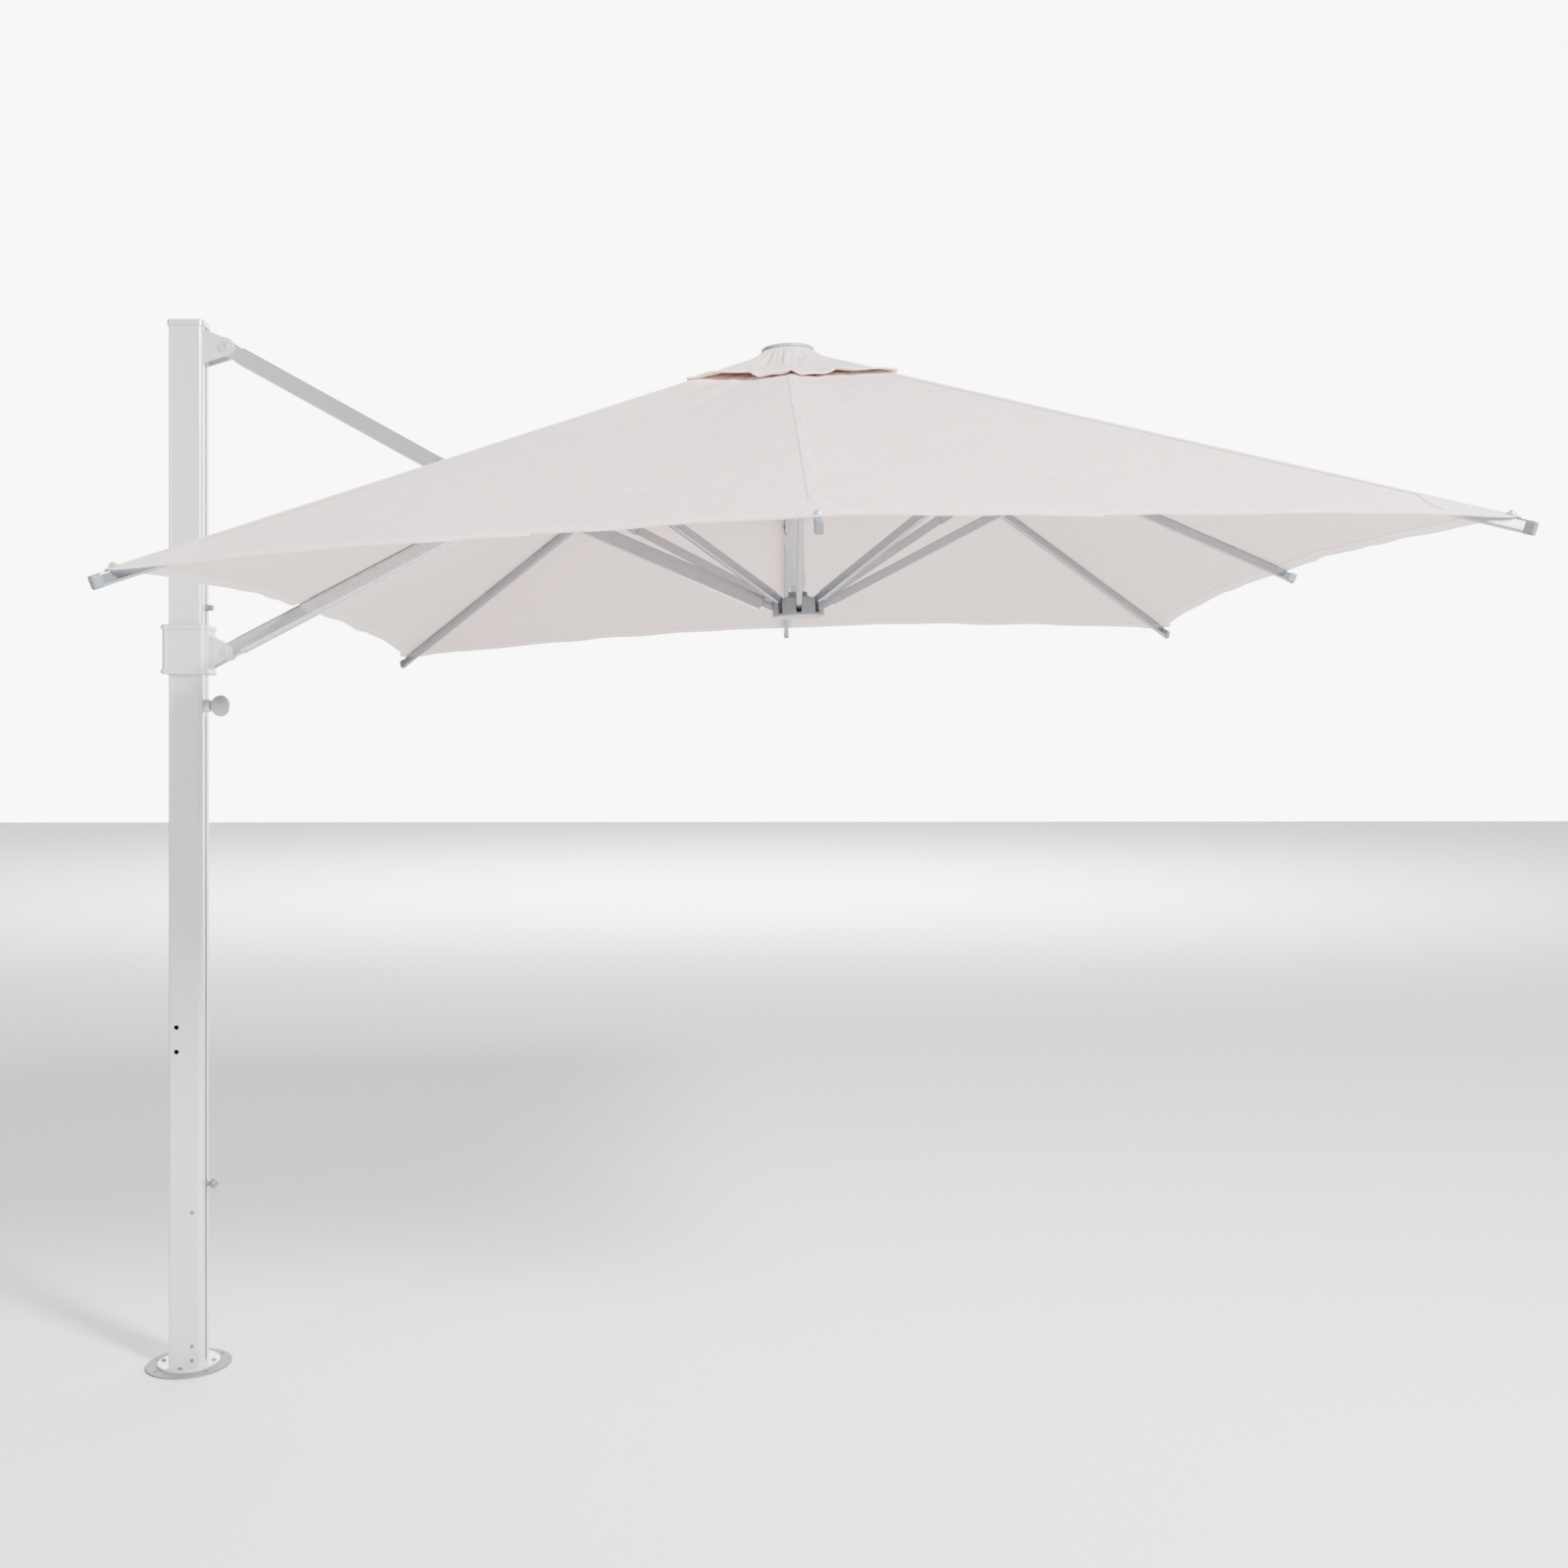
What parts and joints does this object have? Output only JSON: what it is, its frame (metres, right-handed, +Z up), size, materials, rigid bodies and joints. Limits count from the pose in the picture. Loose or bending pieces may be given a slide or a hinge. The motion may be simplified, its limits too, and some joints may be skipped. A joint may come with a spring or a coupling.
{
  "type": "cantilever parasol",
  "caption": "Side-mast cantilever parasol with a square vented canopy that folds down beside the mast on a linked pair of arms and a sliding carriage.",
  "frame": {"origin": "centre of the round base plate's underside", "axes": "+Z up the mast, +X from the mast towards the canopy, +Y to the far side of the canopy"},
  "size_m": [3.4389, 3.0166, 3.093],
  "materials": {
    "aluminium": "satin",
    "cast_aluminium": "satin",
    "steel": "satin",
    "black_plastic": "matte",
    "grey_plastic": "satin",
    "fabric": "matte"
  },
  "bodies": {
    "mast": {"base_plate": "cast_aluminium", "base_flange": "cast_aluminium", "flange_bolts": "steel", "mast_spigot": "steel", "spigot_screws": "steel", "mast_tube": "aluminium", "mast_cap": "grey_plastic", "top_bracket": "aluminium", "top_pivot_bolt": "steel", "mast_pegs": "grey_plastic"},
    "upper_arm": {"upper_arm_tube": "aluminium", "upper_arm_ends": "aluminium", "elbow_bolt": "steel"},
    "main_arm": {"main_arm_tube": "aluminium", "main_arm_ends": "aluminium", "canopy_inner": "fabric"},
    "carriage": {"carriage_sleeve": "aluminium", "carriage_liners": "black_plastic", "carriage_bolt": "steel", "lock_slider": "aluminium"},
    "lock_knob": {"lock_knob": "grey_plastic"},
    "crown": {"crown_hub": "aluminium", "crown_pins": "steel", "crown_disc": "aluminium", "pole_outer": "aluminium", "vent_flap": "fabric"},
    "pole_middle": {"pole_middle": "aluminium"},
    "main_strut": {"main_strut": "aluminium", "strut_pin": "steel"},
    "hub": {"hub_body": "aluminium", "hub_pins": "steel", "pole_inner": "aluminium"},
    "rib_near": {"rib_near": "aluminium", "rib_fittings_near": "grey_plastic", "canopy_near": "fabric"},
    "strut_near": {"strut_near": "aluminium"},
    "rib_near_outer": {"rib_near_outer": "aluminium", "rib_fittings_near_outer": "grey_plastic", "canopy_near_outer": "fabric"},
    "strut_near_outer": {"strut_near_outer": "aluminium"},
    "rib_outer": {"rib_outer": "aluminium", "rib_fittings_outer": "grey_plastic", "canopy_outer": "fabric"},
    "strut_outer": {"strut_outer": "aluminium"},
    "rib_far_outer": {"rib_far_outer": "aluminium", "rib_fittings_far_outer": "grey_plastic", "canopy_far_outer": "fabric"},
    "strut_far_outer": {"strut_far_outer": "aluminium"},
    "rib_far": {"rib_far": "aluminium", "rib_fittings_far": "grey_plastic", "canopy_far": "fabric"},
    "strut_far": {"strut_far": "aluminium"},
    "rib_far_inner": {"rib_far_inner": "aluminium", "rib_fittings_far_inner": "grey_plastic", "canopy_far_inner": "fabric"},
    "strut_far_inner": {"strut_far_inner": "aluminium"},
    "rib_near_inner": {"rib_near_inner": "aluminium", "rib_fittings_near_inner": "grey_plastic", "canopy_near_inner": "fabric"},
    "strut_near_inner": {"strut_near_inner": "aluminium"}
  },
  "joints": [
    {"name": "fold", "type": "hinge", "parent": "mast", "child": "upper_arm", "pos_m": [0.113, 0, 3.014], "axis": [0, 1, 0], "range_deg": [0, 56]},
    {"name": "elbow", "type": "hinge", "parent": "upper_arm", "child": "main_arm", "pos_m": [0.92965, 0, 2.5635], "axis": [0, 1, 0], "range_deg": [-112, 0], "deforming": ["canopy_inner"]},
    {"name": "carriage_pivot", "type": "hinge", "parent": "main_arm", "child": "carriage", "pos_m": [0.113, 0, 2.113], "axis": [0, 1, 0], "range_deg": [0, 56]},
    {"name": "knob_pull", "type": "slide", "parent": "carriage", "child": "lock_knob", "axis": [1, 0, 0], "range_m": [0, 0.008], "stiffness_N_per_m": 600},
    {"name": "crown_pivot", "type": "hinge", "parent": "main_arm", "child": "crown", "pos_m": [1.71438, 0, 2.96089], "axis": [0, 1, 0], "range_deg": [0, 56], "deforming": ["vent_flap"]},
    {"name": "pole_slide", "type": "slide", "parent": "crown", "child": "pole_middle", "axis": [0.0401, 0, -0.9992], "range_m": [0, 0.4801]},
    {"name": "strut_pivot", "type": "hinge", "parent": "main_arm", "child": "main_strut", "pos_m": [0.98086, 0, 2.57251], "axis": [0, 1, 0], "range_deg": [0, 112]},
    {"name": "hub_pivot", "type": "hinge", "parent": "main_strut", "child": "hub", "pos_m": [1.74317, 0, 2.2442], "axis": [0, 1, 0], "range_deg": [-56, 0]},
    {"name": "rib_near_hinge", "type": "hinge", "parent": "crown", "child": "rib_near", "pos_m": [1.78033, -0.066, 2.96354], "axis": [0.9992, 0, 0.0401], "range_deg": [0, 56], "deforming": ["canopy_near"]},
    {"name": "strut_near_hinge", "type": "hinge", "parent": "rib_near", "child": "strut_near", "pos_m": [1.79472, -0.81452, 2.6052], "axis": [0.9992, 0, 0.0401], "range_deg": [-112, 0]},
    {"name": "rib_near_outer_hinge", "type": "hinge", "parent": "crown", "child": "rib_near_outer", "pos_m": [1.82636, -0.04667, 2.9804], "axis": [0.7065, 0.7071, 0.0284], "range_deg": [0, 56], "deforming": ["canopy_near_outer"]},
    {"name": "strut_near_outer_hinge", "type": "hinge", "parent": "rib_near_outer", "child": "strut_near_outer", "pos_m": [2.36961, -0.57595, 2.6433], "axis": [0.7065, 0.7071, 0.0284], "range_deg": [-112, 0]},
    {"name": "rib_outer_hinge", "type": "hinge", "parent": "crown", "child": "rib_outer", "pos_m": [1.84628, 0, 2.96619], "axis": [0, 1, 0], "range_deg": [0, 56], "deforming": ["canopy_outer"]},
    {"name": "strut_outer_hinge", "type": "hinge", "parent": "rib_outer", "child": "strut_outer", "pos_m": [2.60859, 0, 2.63788], "axis": [0, 1, 0], "range_deg": [-112, 0]},
    {"name": "rib_far_outer_hinge", "type": "hinge", "parent": "crown", "child": "rib_far_outer", "pos_m": [1.82636, 0.04667, 2.9804], "axis": [-0.7065, 0.7071, -0.0284], "range_deg": [0, 56], "deforming": ["canopy_far_outer"]},
    {"name": "strut_far_outer_hinge", "type": "hinge", "parent": "rib_far_outer", "child": "strut_far_outer", "pos_m": [2.36961, 0.57595, 2.6433], "axis": [-0.7065, 0.7071, -0.0284], "range_deg": [-112, 0]},
    {"name": "rib_far_hinge", "type": "hinge", "parent": "crown", "child": "rib_far", "pos_m": [1.78033, 0.066, 2.96354], "axis": [-0.9992, 0, -0.0401], "range_deg": [0, 56], "deforming": ["canopy_far"]},
    {"name": "strut_far_hinge", "type": "hinge", "parent": "rib_far", "child": "strut_far", "pos_m": [1.79472, 0.81452, 2.6052], "axis": [-0.9992, 0, -0.0401], "range_deg": [-112, 0]},
    {"name": "rib_far_inner_hinge", "type": "hinge", "parent": "crown", "child": "rib_far_inner", "pos_m": [1.7331, 0.04667, 2.97665], "axis": [-0.7065, -0.7071, -0.0284], "range_deg": [0, 56], "deforming": ["canopy_far_inner"]},
    {"name": "strut_far_inner_hinge", "type": "hinge", "parent": "rib_far_inner", "child": "strut_far_inner", "pos_m": [1.21863, 0.57595, 2.59707], "axis": [-0.7065, -0.7071, -0.0284], "range_deg": [-112, 0]},
    {"name": "rib_near_inner_hinge", "type": "hinge", "parent": "crown", "child": "rib_near_inner", "pos_m": [1.7331, -0.04667, 2.97665], "axis": [0.7065, -0.7071, 0.0284], "range_deg": [0, 56], "deforming": ["canopy_near_inner"]},
    {"name": "strut_near_inner_hinge", "type": "hinge", "parent": "rib_near_inner", "child": "strut_near_inner", "pos_m": [1.21863, -0.57595, 2.59707], "axis": [0.7065, -0.7071, 0.0284], "range_deg": [-112, 0]}
  ],
  "couplings": [
    {"joint": "elbow", "follows": "fold", "ratio": -2},
    {"joint": "carriage_pivot", "follows": "fold", "ratio": 1},
    {"joint": "crown_pivot", "follows": "fold", "ratio": 1},
    {"joint": "pole_slide", "follows": "fold", "m_per_rad": 0.49111},
    {"joint": "strut_pivot", "follows": "fold", "ratio": 2},
    {"joint": "hub_pivot", "follows": "fold", "ratio": -1},
    {"joint": "rib_near_hinge", "follows": "fold", "ratio": 1},
    {"joint": "strut_near_hinge", "follows": "fold", "ratio": -2},
    {"joint": "rib_near_outer_hinge", "follows": "fold", "ratio": 1},
    {"joint": "strut_near_outer_hinge", "follows": "fold", "ratio": -2},
    {"joint": "rib_outer_hinge", "follows": "fold", "ratio": 1},
    {"joint": "strut_outer_hinge", "follows": "fold", "ratio": -2},
    {"joint": "rib_far_outer_hinge", "follows": "fold", "ratio": 1},
    {"joint": "strut_far_outer_hinge", "follows": "fold", "ratio": -2},
    {"joint": "rib_far_hinge", "follows": "fold", "ratio": 1},
    {"joint": "strut_far_hinge", "follows": "fold", "ratio": -2},
    {"joint": "rib_far_inner_hinge", "follows": "fold", "ratio": 1},
    {"joint": "strut_far_inner_hinge", "follows": "fold", "ratio": -2},
    {"joint": "rib_near_inner_hinge", "follows": "fold", "ratio": 1},
    {"joint": "strut_near_inner_hinge", "follows": "fold", "ratio": -2}
  ]
}
